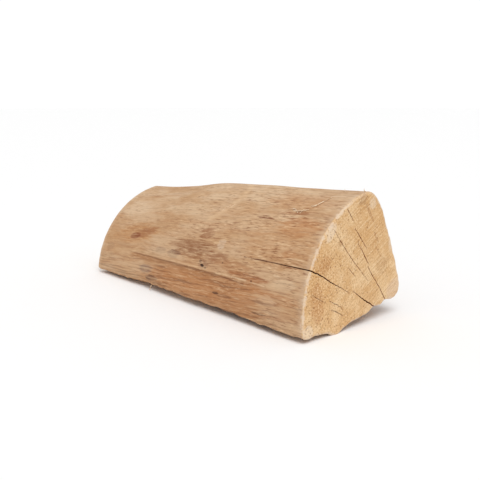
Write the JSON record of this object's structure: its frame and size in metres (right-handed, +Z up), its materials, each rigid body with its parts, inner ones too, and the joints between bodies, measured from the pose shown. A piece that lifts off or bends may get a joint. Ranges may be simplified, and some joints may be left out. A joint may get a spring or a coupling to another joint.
{
  "type": "firewood log",
  "caption": "Split, debarked firewood log with a round outer face, two split faces, sawn ends and drying cracks; it lies on its lower split face.",
  "frame": {"origin": "on the floor, under the middle of the log's box", "axes": "+X along the log towards its thicker sawn end, +Y away from the round outer face, +Z up as the log lies"},
  "size_m": [0.256, 0.106, 0.0896],
  "materials": {
    "wood": "matte, debarked and weathered outside, sawn ends paler"
  },
  "bodies": {
    "root": {"log": "wood"}
  },
  "joints": []
}
